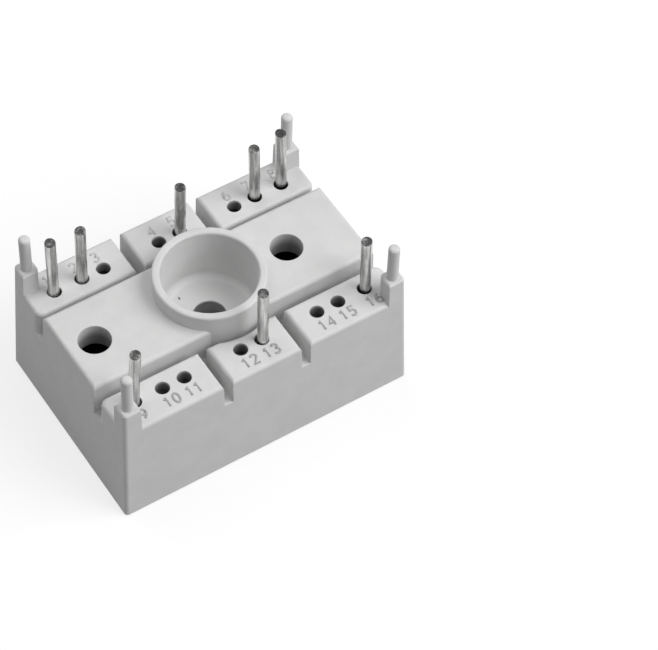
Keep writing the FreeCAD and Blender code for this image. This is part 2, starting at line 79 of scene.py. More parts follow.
# Places of the sixteen pin holes, the two filling holes and the cup
THIRD_PITCH = 3.0 * MM
BLOCK_TOP = 15.9 * MM
BORE_RADIUS = 0.92 * MM
ROW_Y = mounts["end_pins"]["dims"]["spacing_y_mm"] * MM / 2
END_X = mounts["end_pins"]["dims"]["spacing_x_mm"] * MM / 2
SECOND_X = mounts["second_pins"]["dims"]["spacing_x_mm"] * MM / 2
HOLE_XS = (END_X, SECOND_X, SECOND_X - THIRD_PITCH, mounts["middle_pins"]["pos_m"][0])
FILL_XS = (-16.0 * MM, 10.97 * MM)
FILL_RADIUS = 2.07 * MM
PLATEAU_TOP = 17.0 * MM
CUP_RADIUS = mounts["screw_cup"]["dims"]["r_mm"] * MM
SCREW_RADIUS = mounts["screw_hole"]["dims"]["r_mm"] * MM
CUP_FLOOR = mounts["screw_hole"]["pos_m"][2] + mounts["screw_hole"]["dims"]["length_mm"] * MM / 2

# Where painted shade darkens a hole's wall: below a lit lip, over a depth that grows
# with the hole, and no further from the axis than the wall itself
LIT_LIP = 0.1 * MM
NARROW_FADE = 0.45 * MM
WIDE_FADE = 1.9 * MM
WALL_MARGINS = (0.04 * MM, 0.07 * MM)
FAR_OFF = 1.0

# Where painted light makes the cup's floor paler: inside its wall, and low above the floor
FLOOR_MARGIN = 0.3 * MM
FLOOR_LEVELS = (0.2 * MM, 0.9 * MM)


def add_node(tree, kind, **inputs):
    """A node of a kind, with values or links for the sockets that are named."""
    node = tree.nodes.new(kind)
    for name, value in inputs.items():
        key = int(name[1:]) if name[0] == "_" else name.replace("_", " ")
        socket = node.inputs[key]
        if isinstance(value, bpy.types.NodeSocket):
            tree.links.new(value, socket)
        else:
            socket.default_value = value
    return node


def calculate(tree, operation, *values):
    """One step of arithmetic on numbers and sockets."""
    inputs = {f"_{i}": value for i, value in enumerate(values)}
    node = add_node(tree, "ShaderNodeMath", **inputs)
    node.operation = operation
    return node.outputs[0]


def spread(tree, value, low, high, from_low=0.0, from_high=1.0):
    """A value mapped from one range onto another."""
    ends = {"_1": from_low, "_2": from_high, "_3": low, "_4": high}
    return add_node(tree, "ShaderNodeMapRange", Value=value, **ends).outputs["Result"]


def add_noise(tree, place, fineness, detail, roughness):
    """Noise with values from 0 to 1, finer where the fineness is higher."""
    noise = add_node(
        tree, "ShaderNodeTexNoise", Vector=place, Scale=fineness, Detail=detail, Roughness=roughness
    )
    return noise.outputs["Fac"]


def own_place(tree):
    """The place on the piece, in its own lengths."""
    return tree.nodes.new("ShaderNodeTexCoord").outputs["Object"]


def new_group(name, inputs, outputs):
    """An empty shader group with named sockets, and its two end nodes."""
    group = bpy.data.node_groups.new(name, "ShaderNodeTree")
    for socket, kind in inputs.items():
        group.interface.new_socket(socket, in_out="INPUT", socket_type=kind)
    for socket, kind in outputs.items():
        group.interface.new_socket(socket, in_out="OUTPUT", socket_type=kind)
    return group, group.nodes.new("NodeGroupInput"), group.nodes.new("NodeGroupOutput")


def place_group(tree, group, **inputs):
    """One use of a shader group, with its own values."""
    node = tree.nodes.new("ShaderNodeGroup")
    node.node_tree = group
    for name, value in inputs.items():
        node.inputs[name.replace("_", " ")].default_value = value
    return node


def speckle_group():
    """Speckle: a fine grain and wide soft clouds, each as values from 0 to 1."""
    group, start, end = new_group(
        "speckle",
        {"Grain Size": "NodeSocketFloat", "Cloud Size": "NodeSocketFloat"},
        {"Grain": "NodeSocketFloat", "Cloud": "NodeSocketFloat"},
    )
    place = own_place(group)
    for size_name, output, detail in (("Grain Size", "Grain", 2.0), ("Cloud Size", "Cloud", 4.0)):
        fineness = calculate(group, "DIVIDE", 1.0, start.outputs[size_name])
        noise = add_noise(group, place, fineness, detail, roughness=0.6)
        group.links.new(noise, end.inputs[output])
    return group


def edge_group():
    """Soft edges: the normal of slightly rounded edges, and a mask that is 1 on them."""
    group, start, end = new_group(
        "soft_edges",
        {"Radius": "NodeSocketFloat"},
        {"Normal": "NodeSocketVector", "Edge": "NodeSocketFloat"},
    )
    bevel = add_node(group, "ShaderNodeBevel", Radius=start.outputs["Radius"])
    bevel.samples = 6
    true_normal = group.nodes.new("ShaderNodeNewGeometry").outputs["Normal"]
    likeness = add_node(group, "ShaderNodeVectorMath", _0=bevel.outputs["Normal"], _1=true_normal)
    likeness.operation = "DOT_PRODUCT"
    edge = spread(group, likeness.outputs["Value"], 0.0, 1.0, 1.0, EDGE_LIKENESS)
    group.links.new(bevel.outputs["Normal"], end.inputs["Normal"])
    group.links.new(edge, end.inputs["Edge"])
    return group


def bore_group():
    """Bores: a mask of painted shade on the walls in the holes, and one of painted
    light on the cup's floor up to a paleness.
    """
    group, start, end = new_group(
        "bores",
        {"Floor Paleness": "NodeSocketFloat"},
        {"Walls": "NodeSocketFloat", "Floor": "NodeSocketFloat"},
    )
    x, y, z = add_node(group, "ShaderNodeSeparateXYZ", Vector=own_place(group)).outputs

    def off_axis(along, across):
        square = calculate(group, "MULTIPLY", across, across)
        return calculate(group, "SQRT", calculate(group, "MULTIPLY_ADD", along, along, square))

    def nearest_axis(places, along, across):
        distance = FAR_OFF
        for place in places:
            aside = calculate(group, "SUBTRACT", along, place)
            distance = calculate(group, "MINIMUM", distance, off_axis(aside, across))
        return distance

    from_row = calculate(group, "SUBTRACT", calculate(group, "ABSOLUTE", y), ROW_Y)
    nearest_pin = nearest_axis(HOLE_XS, calculate(group, "ABSOLUTE", x), from_row)
    nearest_fill = nearest_axis(FILL_XS, x, y)
    screw = off_axis(x, y)

    # Of each kind of hole: distance from the axis, radius, top, depth of the fade and
    # darkness of the painted shade
    walls = 0.0
    for distance, radius, top, fade, darkness in (
        (nearest_pin, BORE_RADIUS, BLOCK_TOP, NARROW_FADE, 1.0),
        (screw, SCREW_RADIUS, CUP_FLOOR, NARROW_FADE, 0.7),
        (nearest_fill, FILL_RADIUS, PLATEAU_TOP, WIDE_FADE, 0.85),
    ):
        near, far = (radius + margin for margin in WALL_MARGINS)
        inside = spread(group, distance, darkness, 0.0, near, far)
        deep = spread(group, z, 1.0, 0.0, top - LIT_LIP - fade, top - LIT_LIP)
        walls = calculate(group, "MAXIMUM", walls, calculate(group, "MULTIPLY", inside, deep))
    # Painted light: the cup's floor is made paler
    paleness = start.outputs["Floor Paleness"]
    in_cup = spread(group, screw, paleness, 0.0, CUP_RADIUS - FLOOR_MARGIN, CUP_RADIUS)
    low, high = (CUP_FLOOR + level for level in FLOOR_LEVELS)
    floor = calculate(group, "MULTIPLY", in_cup, spread(group, z, 1.0, 0.0, low, high))
    group.links.new(walls, end.inputs["Walls"])
    group.links.new(floor, end.inputs["Floor"])
    return group


SPECKLE = speckle_group()
SOFT_EDGES = edge_group()
BORES = bore_group()


def new_material(name, **constants):
    """A material with one shader, whose constant sockets are set."""
    material = bpy.data.materials.new(name)
    material.use_nodes = True
    tree = material.node_tree
    shader = tree.nodes["Principled BSDF"]
    for socket, value in constants.items():
        shader.inputs[socket.replace("_", " ")].default_value = value
    return material, tree, shader


def mix_colours(tree, share, first, second):
    """The colour between two colours, by a share that changes over the surface."""
    mix = tree.nodes.new("ShaderNodeMix")
    mix.data_type = "RGBA"
    for socket, value in (("Factor", share), ("A", first), ("B", second)):
        target = next(item for item in mix.inputs if item.name == socket and item.enabled)
        if isinstance(value, bpy.types.NodeSocket):
            tree.links.new(value, target)
        else:
            target.default_value = value
    return next(item for item in mix.outputs if item.enabled)


def add_relief(tree, shader, height, strength, depth, normal=None):
    """Fine relief from a height that changes over the surface."""
    bump = add_node(tree, "ShaderNodeBump", Height=height, Strength=strength, Distance=depth)
    if normal is not None:
        tree.links.new(normal, bump.inputs["Normal"])
    tree.links.new(bump.outputs["Normal"], shader.inputs["Normal"])


def shaded(colour, shade):
    """A colour made darker by a factor."""
    return [value * shade for value in colour[:3]] + [1.0]


def moulded_plastic(name, shade=1.0):
    """Grey polyester: cloudy colour, matt grain, painted highlights on the edges,
    painted light on the cup's floor and painted shade in the holes; darker by a
    factor of painted shade.
    """
    material, tree, shader = new_material(name, Specular_IOR_Level=0.42)
    speckle = place_group(tree, SPECKLE, Grain_Size=GRAIN_SIZE, Cloud_Size=CLOUD_SIZE).outputs
    edges = place_group(tree, SOFT_EDGES, Radius=EDGE_ROUND).outputs
    bores = place_group(tree, BORES, Floor_Paleness=FLOOR_PAINTED_LIGHT).outputs
    clear, clouded = shaded(PLASTIC, shade), shaded(PLASTIC_CLOUDED, shade)
    painted_light = shaded(PLASTIC_PAINTED_LIGHT, shade)
    cloud = spread(tree, speckle["Cloud"], 0.0, 1.0, *CLOUD_SPAN)
    colour = mix_colours(tree, cloud, clear, clouded)
    # Painted highlights: the edges are paler
    colour = mix_colours(tree, spread(tree, edges["Edge"], 0.0, EDGE_PAINTED_HIGHLIGHT), colour, painted_light)
    # Painted light: the cup's floor is paler
    colour = mix_colours(tree, bores["Floor"], colour, painted_light)
    # Painted shade: the walls inside the holes are darker
    colour = mix_colours(tree, bores["Walls"], colour, PLASTIC_PAINTED_SHADE)
    roughness = spread(tree, speckle["Grain"], *PLASTIC_ROUGHNESS, *GRAIN_SPAN)
    tree.links.new(colour, shader.inputs["Base Color"])
    tree.links.new(roughness, shader.inputs["Roughness"])
    add_relief(tree, shader, speckle["Grain"], GRAIN_RELIEF, GRAIN_DEPTH, edges["Normal"])
    return material


def dress(node_name, material):
    """Gives a solid of the object its finished material."""
    slots = nodes[node_name].data.materials
    slots.clear()
    slots.append(material)


PLASTIC_FINISH = moulded_plastic("moulded_plastic")
dress("housing", PLASTIC_FINISH)

# Cup and pegs of the moulding: the cup for the screw head has a rounded crown,
# and its wall runs into the floor over a short slope. The four board pegs end
# in blunt domes. This skin lies over the housing's plain bevels.
CUP_WALL = 1.05 * MM
SHOULDER = mounts["board_shoulder"]["pos_m"][2]
FLOOR_SLOPE = 0.8 * MM
SKIN = 0.008 * MM
SKIN_BACK = 0.2 * MM
LINING_DEPTH = 0.5 * MM
RIM_ROUND = 0.32 * MM
FLOOR_ROUND = 0.45 * MM
HOLE_EDGE_ROUND = 0.15 * MM
PEG_RADIUS = mounts["board_pegs"]["dims"]["stud_r_mm"] * MM
PEG_TOP = mounts["board_pegs"]["pos_m"][2] * 2 - SHOULDER
TIP_ROUND = 0.45 * MM
TUCK_ANGLE = -8
CUP_SIDES = 160
PEG_SIDES = 48
scene = bpy.context.scene


def arc(centre, radius, start, stop, steps):
    """Points (radius, height) along an arc between two angles in degrees."""
    angles = [math.radians(start + (stop - start) * i / steps) for i in range(steps + 1)]
    return [(centre[0] + radius * math.cos(a), centre[1] + radius * math.sin(a)) for a in angles]


def rim_point(axis, radius, angle, height):
    """A point beside an upright axis, at an angle round it."""
    return (axis[0] + radius * math.cos(angle), axis[1] + radius * math.sin(angle), height)


def finished_mesh(name, bm):
    """A mesh with smooth faces from its draft."""
    mesh = bpy.data.meshes.new(name)
    bm.to_mesh(mesh)
    bm.free()
    mesh.polygons.foreach_set("use_smooth", [True] * len(mesh.polygons))
    return mesh


def fixed_piece(name, shape, material):
    """A piece with its material, fixed to the object."""
    piece = bpy.data.objects.new(name, shape)
    scene.collection.objects.link(piece)
    shape.materials.append(material)
    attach(piece, "root")
    return piece


def turned_mesh(name, profile, axis, sides):
    """A closed profile of (radius, height) points turned about an upright axis."""
    bm = bmesh.new()
    turn = [2 * math.pi * i / sides for i in range(sides)]
    rings = []
    for radius, height in profile:
        angles = turn if radius > 0 else [0.0]
        rings.append([bm.verts.new(rim_point(axis, radius, angle, height)) for angle in angles])
    for lower, upper in zip(rings, rings[1:] + rings[:1]):
        if len(lower) == len(upper) == 1:
            continue
        for i in range(sides):
            ends = ((lower, i), (lower, i + 1), (upper, i + 1), (upper, i))
            corners = [ring[place % len(ring)] for ring, place in ends]
            bm.faces.new(list(dict.fromkeys(corners)))
    bmesh.ops.recalc_face_normals(bm, faces=bm.faces)
    return finished_mesh(name, bm)


outer, inner = CUP_RADIUS + CUP_WALL + SKIN, CUP_RADIUS - SKIN
crown, floor_top, bore = SHOULDER + SKIN, CUP_FLOOR + SKIN, SCREW_RADIUS - SKIN
slope_line = CUP_RADIUS - FLOOR_SLOPE - CUP_FLOOR - SKIN * math.sqrt(2)
bend = FLOOR_ROUND * math.sqrt(2)
upper_bend = (inner - FLOOR_ROUND, inner - FLOOR_ROUND + bend - slope_line)
lower_bend = (slope_line + floor_top + FLOOR_ROUND - bend, floor_top + FLOOR_ROUND)
cup_profile = (
    [(outer - SKIN_BACK, crown - RIM_ROUND - SKIN_BACK)]
    + arc((outer - RIM_ROUND, crown - RIM_ROUND), RIM_ROUND, TUCK_ANGLE, 90, 9)
    + arc((inner + RIM_ROUND, crown - RIM_ROUND), RIM_ROUND, 90, 180, 8)
    + arc(upper_bend, FLOOR_ROUND, 0, -45, 6)
    + arc(lower_bend, FLOOR_ROUND, -45, -90, 6)
    + arc((bore + HOLE_EDGE_ROUND, floor_top - HOLE_EDGE_ROUND), HOLE_EDGE_ROUND, 90, 180, 5)
    + [(bore, floor_top - LINING_DEPTH), (bore + SKIN_BACK, floor_top - LINING_DEPTH)]
    + [(bore + SKIN_BACK, floor_top - SKIN_BACK), (inner + SKIN_BACK, floor_top - SKIN_BACK)]
)
cup_mesh = turned_mesh("cup_skin", cup_profile, (0, 0), CUP_SIDES)
fixed_piece("cup_skin", cup_mesh, PLASTIC_FINISH)

tip_side = PEG_RADIUS + SKIN / 2
tip_back = PEG_TOP - TIP_ROUND - SKIN_BACK
tip_profile = (
    [(0, tip_back), (PEG_RADIUS - SKIN_BACK, tip_back)]
    + arc((tip_side - TIP_ROUND, PEG_TOP + SKIN - TIP_ROUND), TIP_ROUND, TUCK_ANGLE, 90, 9)
    + [(0, PEG_TOP + 2 * SKIN)]
)
peg_x = mounts["board_pegs"]["dims"]["spacing_x_mm"] * MM / 2
peg_y = mounts["board_pegs"]["dims"]["spacing_y_mm"] * MM / 2
for number, (side_x, side_y) in enumerate(((-1, -1), (1, -1), (1, 1), (-1, 1)), start=1):
    name = f"peg_tip_{number}"
    tip = turned_mesh(name, tip_profile, (side_x * peg_x, side_y * peg_y), PEG_SIDES)
    fixed_piece(name, tip, PLASTIC_FINISH)

# Position numerals 1 to 16: low raised strokes beside the pin holes, left by
# numerals engraved in the mould. Their colour is darker as painted shade of the
# relief, the front row more than the back row as the light falls on them. The
# front row stands in front of its holes, the back row behind them, all upright
# for a reader at the front.
NUMERAL_HEIGHT = 1.36 * MM
NUMERAL_WIDTH = 0.75 * MM
NUMERAL_STEP = 1.18 * MM
NUMERAL_LEFT = 0.835 * MM
NUMERAL_AWAY = 2.1 * MM
NUMERAL_AWAY_BACK = 1.95 * MM
STROKE_RADIUS = 0.18 * MM
STROKE_SUNK = 0.055 * MM
# Painted shade: factors that darken the numerals' colour, the front row more
FRONT_PAINTED_SHADE = 0.6
BACK_PAINTED_SHADE = 0.8
FRONT_FINISH = moulded_plastic("front_numeral_painted_shade", FRONT_PAINTED_SHADE)
BACK_FINISH = moulded_plastic("back_numeral_painted_shade", BACK_PAINTED_SHADE)
ROW_XS = [-x for x in HOLE_XS] + list(HOLE_XS[::-1])


def bow(centre_x, centre_y, half_width, half_height, start, stop, steps=14):
    """Points on part of an ellipse, between two angles in degrees."""
    circle = arc((0, 0), 1, start, stop, steps)
    return [(centre_x + half_width * u, centre_y + half_height * v) for u, v in circle]


# Strokes of each digit in a cell one wide and two high
DIGITS = {
    "0": [bow(0.5, 1.0, 0.5, 1.0, 0, 360, 28)],
    "1": [[(0.12, 1.55), (0.5, 2.0), (0.5, 0.0)]],
    "2": [bow(0.5, 1.5, 0.5, 0.5, 160, -35) + [(0.0, 0.0), (1.0, 0.0)]],
    "3": [bow(0.48, 1.53, 0.45, 0.47, 150, -85), bow(0.46, 0.53, 0.52, 0.53, 88, -150)],
    "4": [[(0.8, 0.0), (0.8, 2.0), (0.0, 0.6), (1.0, 0.6)]],
    "5": [[(0.95, 2.0), (0.15, 2.0), (0.08, 1.15)] + bow(0.45, 0.62, 0.52, 0.62, 118, -140)],
    "6": [bow(0.5, 0.55, 0.5, 0.55, 0, 360, 24), bow(1.0, 0.62, 1.0, 1.38, 180, 112, 8)],
    "7": [[(0.0, 2.0), (1.0, 2.0), (0.35, 0.0)]],
    "8": [bow(0.5, 1.52, 0.42, 0.46, 0, 360, 22), bow(0.5, 0.53, 0.5, 0.53, 0, 360, 24)],
    "9": [bow(0.5, 1.45, 0.5, 0.55, 0, 360, 24), bow(0.0, 1.38, 1.0, 1.38, 0, -68, 8)],
}


def numeral(number, left, middle_y, finish):
    """One numeral as round strokes, partly sunk in the block top."""
    name = f"numeral_{number}"
    curve = bpy.data.curves.new(name, "CURVE")
    curve.dimensions = "3D"
    curve.bevel_depth = STROKE_RADIUS
    curve.bevel_resolution = 3
    curve.use_fill_caps = True
    for column, digit in enumerate(str(number)):
        for stroke in DIGITS[digit]:
            spline = curve.splines.new("POLY")
            closed = math.dist(stroke[0], stroke[-1]) < 1e-6
            points = stroke[:-1] if closed else stroke
            spline.points.add(len(points) - 1)
            spline.use_cyclic_u = closed
            for point, (u, v) in zip(spline.points, points):
                x = left + column * NUMERAL_STEP + u * NUMERAL_WIDTH
                y = middle_y + (v - 1) * NUMERAL_HEIGHT / 2
                point.co = (x, y, BLOCK_TOP - STROKE_SUNK, 1)
    fixed_piece(name, curve, finish)


# The back row and the 9 have one digit, in line with the hole; 10 to 16 have two
for index, hole_x in enumerate(ROW_XS):
    in_line = hole_x - NUMERAL_WIDTH / 2
    numeral(index + 1, in_line, ROW_Y + NUMERAL_AWAY_BACK, BACK_FINISH)
    left = hole_x - NUMERAL_LEFT if index else in_line
    numeral(index + 9, left, -ROW_Y - NUMERAL_AWAY, FRONT_FINISH)

# Solder pins: tinned copper wire, cropped by a tool that leaves a dark, torn
# end. Each stands loosely in its pin hole, leans a little and has its own
# length, as wire does that was set by hand and cropped after soldering.
TIN = (0.66, 0.66, 0.65, 1.0)
TIN_DULL = (0.36, 0.36, 0.36, 1.0)
# Painted shade: the dark colour of the wire down in its hole
TIN_PAINTED_SHADE = (0.05, 0.05, 0.05, 1.0)
TIN_SPAN = (0.52, 0.76)
TIN_ROUGHNESS = (0.2, 0.42)
TORN = (0.05, 0.05, 0.05, 1.0)
TORN_BRIGHT = (0.24, 0.24, 0.235, 1.0)
TORN_SPAN = (0.48, 0.8)
STREAK_FINENESS = (3400.0, 3400.0, 210.0)
STREAK_RELIEF = 0.5
STREAK_DEPTH = 0.012 * MM
PATCH_FINENESS = 900.0
PATCH_SHARE = 0.25
SPOT_FINENESS = 1700.0

# Directions on the board, seen from the front left: to the side and away
SIDEWAYS = Vector((0.857, -0.515, 0))
AWAY = Vector((0.515, 0.857, 0))

# Pin number: height of the tip, lean to the side at the tip, place of the foot
# to the side and away in its hole, widening of the foot, all in millimetres,
# and the direction in which the cut falls, in degrees
PINS = {
    1: (25.45, -0.11, -0.08, 0.07, 0.10, 250),
    2: (25.25, 0.12, 0.05, 0.07, 0.12, 200),
    5: (24.80, 0.17, 0.08, -0.06, 0.0, 290),
    7: (25.05, -0.16, 0.0, 0.12, 0.0, 230),
    8: (25.65, -0.18, 0.03, 0.17, 0.0, 300),
    9: (25.50, 0.34, -0.06, -0.10, 0.08, 240),
    13: (25.20, 0.10, 0.14, -0.10, 0.0, 270),
    16: (25.15, -0.04, 0.10, 0.05, 0.0, 210),
}

# The wire: a trace thinner than its solid, in rings from the land to the cut,
# close together at the hole and even above it, each a little off the line
WIRE_FIT = 0.96
WIRE_RADIUS = mounts["end_pins"]["dims"]["stud_r_mm"] * MM * WIRE_FIT
WIRE_SIDES = 40
WIRE_STEPS = 12
FOOT_LEVELS = (-0.9 * MM, -0.45 * MM, -0.1 * MM, 0.12 * MM)
FREE_LEVEL = 0.4 * MM
LEAN_CURVE = 1.3
SWAY = 0.012 * MM
SWAY_GROWTH = 4

# The foot: widest a little below the block top, and coloured darker further down
# in the hole as painted shade
FLARE_LEVEL = 0.3 * MM
FLARE_REACH = 0.6 * MM
HOLE_SHADE_DEPTH = 0.05 * MM
HOLE_SHADE_DEPTH_FLARED = 0.5 * MM

# The torn end: rings by their share of the wire's radius, the first still on
# the wire's side; parts of the depth at the low side, up the cut and at the peak
EDGE_SHARE = 0.985
TORN_SHARES = (0.97, 0.82, 0.6, 0.36, 0.14)
TORN_DEPTH = 0.32 * MM
TORN_LOW, TORN_CUT, TORN_PEAK = 0.25, 0.6, 0.15
TORN_ROUGHNESS = 0.10
EDGE_DROP = 0.06 * MM


def streaks_along(tree, fineness, detail, roughness):
    """Noise with its own fineness along X, Y and Z, so that it lies in streaks."""
    stretched = add_node(tree, "ShaderNodeMapping", Vector=own_place(tree), Scale=fineness)
    return add_noise(tree, stretched.outputs["Vector"], 1.0, detail, roughness)


def mask_of(tree, name):
    """A mask that the mesh carries."""
    node = tree.nodes.new("ShaderNodeAttribute")
    node.attribute_name = name
    return node.outputs["Fac"]


def tinned_wire():
    """Tin on copper wire: streaks along the wire, dark torn metal on the end, and
    painted shade on the part down in the hole.
    """
    material, tree, shader = new_material("tinned_wire", Metallic=1.0)
    place = own_place(tree)
    streaks = streaks_along(tree, STREAK_FINENESS, detail=4.0, roughness=0.65)
    patches = add_noise(tree, place, PATCH_FINENESS, detail=3.0, roughness=0.6)
    dullness = calculate(tree, "MULTIPLY_ADD", patches, PATCH_SHARE, streaks)
    tin = mix_colours(tree, spread(tree, dullness, 0.0, 1.0, *TIN_SPAN), TIN, TIN_DULL)
    # Painted shade on the wire inside its hole
    tin = mix_colours(tree, mask_of(tree, "hole_shade"), tin, TIN_PAINTED_SHADE)
    spots = add_noise(tree, place, SPOT_FINENESS, detail=2.0, roughness=0.5)
    torn = mix_colours(tree, spread(tree, spots, 0.0, 1.0, *TORN_SPAN), TORN, TORN_BRIGHT)
    tree.links.new(mix_colours(tree, mask_of(tree, "torn"), tin, torn), shader.inputs["Base Color"])
    tree.links.new(spread(tree, streaks, *TIN_ROUGHNESS, *GRAIN_SPAN), shader.inputs["Roughness"])
    add_relief(tree, shader, streaks, STREAK_RELIEF, STREAK_DEPTH)
    return material


def wire_mesh(name, axis, bottom, pin, dice):
    """A round wire from its land to a torn end, on a slightly bent centre line."""
    tip, lean, foot_side, foot_away, flare, fall = pin
    tip, fall = tip * MM, math.radians(fall)
    foot = Vector((axis[0], axis[1], 0)) + SIDEWAYS * foot_side * MM + AWAY * foot_away * MM
    straight = tip - TORN_DEPTH
    free = straight - BLOCK_TOP - FREE_LEVEL
    hole_shade_level = BLOCK_TOP - (HOLE_SHADE_DEPTH_FLARED if flare else HOLE_SHADE_DEPTH)
    levels = [bottom] + [BLOCK_TOP + level for level in FOOT_LEVELS]
    levels += [BLOCK_TOP + FREE_LEVEL + free * i / WIRE_STEPS for i in range(WIRE_STEPS + 1)]
    turn = [2 * math.pi * i / WIRE_SIDES for i in range(WIRE_SIDES)]
    bm = bmesh.new()
    torn_mask = bm.verts.layers.float.new("torn")
    hole_shade_mask = bm.verts.layers.float.new("hole_shade")
    rings = []

    def add_ring(centre, radius, heights, torn, hole_shade):
        ring = [bm.verts.new(rim_point(centre, radius, *at)) for at in zip(turn, heights)]
        for vert in ring:
            vert[torn_mask], vert[hole_shade_mask] = torn, hole_shade
        rings.append(ring)

    for height in levels:
        share = max(0.0, (height - BLOCK_TOP) / (tip - BLOCK_TOP))
        sway = Vector((dice.uniform(-1, 1), dice.uniform(-1, 1), 0)) * SWAY
        lean_here = SIDEWAYS * (lean - foot_side) * MM * share**LEAN_CURVE
        centre = foot + lean_here + sway * min(1.0, share * SWAY_GROWTH)
        near_foot = max(0.0, 1 - abs(height - BLOCK_TOP + FLARE_LEVEL) / FLARE_REACH)
        hole_shade = 1.0 if height < hole_shade_level else 0.0
        radius = WIRE_RADIUS + flare * MM * near_foot
        add_ring(centre, radius, [height] * WIRE_SIDES, 0.0, hole_shade)

    for share in (EDGE_SHARE,) + TORN_SHARES:
        torn = 0.0 if share == EDGE_SHARE else 1.0
        level = straight if torn else straight - EDGE_DROP
        heights = []
        for angle in turn:
            up_cut = 0.5 - 0.5 * share * math.cos(angle - fall)
            ridge = TORN_LOW + TORN_CUT * up_cut + TORN_PEAK * (1 - share)
            lift = dice.uniform(-TORN_ROUGHNESS, TORN_ROUGHNESS) if torn else 0.0
            heights.append(level + (ridge + lift) * TORN_DEPTH)
        add_ring(centre, WIRE_RADIUS * share, heights, torn, 0.0)

    for lower, upper in zip(rings, rings[1:]):
        for i in range(WIRE_SIDES):
            j = (i + 1) % WIRE_SIDES
            bm.faces.new((lower[i], lower[j], upper[j], upper[i]))
    bm.faces.new(rings[0][::-1])
    bm.faces.new(rings[-1])
    bmesh.ops.recalc_face_normals(bm, faces=bm.faces)
    return finished_mesh(name, bm)


TIN_FINISH = tinned_wire()
for number, pin in PINS.items():
    name = f"pin_wire_{number}"
    low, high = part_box(f"pin_{number}")
    mesh = wire_mesh(name, (low + high) / 2, low.z, pin, random.Random(number))
    wire = fixed_piece(name, mesh, TIN_FINISH)
    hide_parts(f"pin_{number}")

# Substrate: a white alumina tile with copper bonded to both faces. The lower
# foil is the face that meets the heatsink, rolled and slightly tarnished.
COPPER = (0.78, 0.42, 0.29, 1.0)
COPPER_TARNISHED = (0.55, 0.27, 0.18, 1.0)
COPPER_ROUGHNESS = (0.25, 0.48)
TARNISH_SPAN = (0.42, 0.68)
ROLLING_FINENESS = (150.0, 7000.0, 7000.0)
ALUMINA = (0.86, 0.85, 0.81, 1.0)
ALUMINA_GREY = (0.76, 0.75, 0.71, 1.0)
ALUMINA_ROUGHNESS = (0.42, 0.6)
ROLLING_RELIEF = 0.25
ALUMINA_RELIEF = 0.1
SUBSTRATE_DEPTH = 0.01 * MM


def rolled_copper():
    """Copper foil: rolling lines along X, cloudy tarnish."""
    material, tree, shader = new_material("rolled_copper", Metallic=1.0)
    lines = streaks_along(tree, ROLLING_FINENESS, detail=3.0, roughness=0.6)
    speckle = place_group(tree, SPECKLE, Grain_Size=0.12 * MM, Cloud_Size=4.0 * MM).outputs
    tarnish = spread(tree, speckle["Cloud"], 0.0, 1.0, *TARNISH_SPAN)
    colour = mix_colours(tree, tarnish, COPPER, COPPER_TARNISHED)
    tree.links.new(colour, shader.inputs["Base Color"])
    tree.links.new(spread(tree, lines, *COPPER_ROUGHNESS, *GRAIN_SPAN), shader.inputs["Roughness"])
    add_relief(tree, shader, lines, ROLLING_RELIEF, SUBSTRATE_DEPTH)
    return material


def fired_alumina():
    """Alumina: fine fired grain, faint grey clouds."""
    material, tree, shader = new_material("fired_alumina", Specular_IOR_Level=0.5)
    speckle = place_group(tree, SPECKLE, Grain_Size=0.05 * MM, Cloud_Size=1.5 * MM).outputs
    cloud = spread(tree, speckle["Cloud"], 0.0, 1.0, *CLOUD_SPAN)
    roughness = spread(tree, speckle["Grain"], *ALUMINA_ROUGHNESS, *GRAIN_SPAN)
    tree.links.new(mix_colours(tree, cloud, ALUMINA, ALUMINA_GREY), shader.inputs["Base Color"])
    tree.links.new(roughness, shader.inputs["Roughness"])
    add_relief(tree, shader, speckle["Grain"], ALUMINA_RELIEF, SUBSTRATE_DEPTH)
    return material


COPPER_FINISH = rolled_copper()
dress("ceramic_tile", fired_alumina())
dress("base_foil", COPPER_FINISH)
for land in ("minus", "plus", "phase_1", "phase_2", "phase_3"):
    dress(f"land_{land}", COPPER_FINISH)

# Diode chips: six dice of silicon with a polished face, soldered to the lands.
SILICON = (0.10, 0.11, 0.14, 1.0)
SILICON_LIGHT = (0.20, 0.21, 0.25, 1.0)
SILICON_ROUGHNESS = (0.12, 0.3)
CHIP_COUNT = 6


def diced_silicon():
    """Silicon: dark, smooth, with a faint sheen of colour."""
    material, tree, shader = new_material("diced_silicon", Coat_Weight=0.3)
    speckle = place_group(tree, SPECKLE, Grain_Size=0.2 * MM, Cloud_Size=1.2 * MM).outputs
    tint = mix_colours(tree, speckle["Cloud"], SILICON, SILICON_LIGHT)
    tree.links.new(tint, shader.inputs["Base Color"])
    tree.links.new(spread(tree, speckle["Grain"], *SILICON_ROUGHNESS), shader.inputs["Roughness"])
    return material


SILICON_FINISH = diced_silicon()
for number in range(CHIP_COUNT):
    dress(f"diode_chip_{number + 1}", SILICON_FINISH)

# Potting compound: soft black silicone, poured through the filling holes, with
# a smooth wet-looking surface deep in the housing.
COMPOUND = (0.012, 0.012, 0.013, 1.0)
COMPOUND_DUSTY = (0.03, 0.03, 0.03, 1.0)
COMPOUND_ROUGHNESS = (0.18, 0.4)


def potting_compound():
    """Silicone: black and glossy, with a little dust."""
    material, tree, shader = new_material("potting_compound", Specular_IOR_Level=0.4)
    speckle = place_group(tree, SPECKLE, Grain_Size=0.1 * MM, Cloud_Size=2.0 * MM).outputs
    dust = mix_colours(tree, speckle["Cloud"], COMPOUND, COMPOUND_DUSTY)
    tree.links.new(dust, shader.inputs["Base Color"])
    roughness = spread(tree, speckle["Cloud"], *COMPOUND_ROUGHNESS)
    tree.links.new(roughness, shader.inputs["Roughness"])
    return material


COMPOUND_FINISH = potting_compound()
dress("potting", COMPOUND_FINISH)

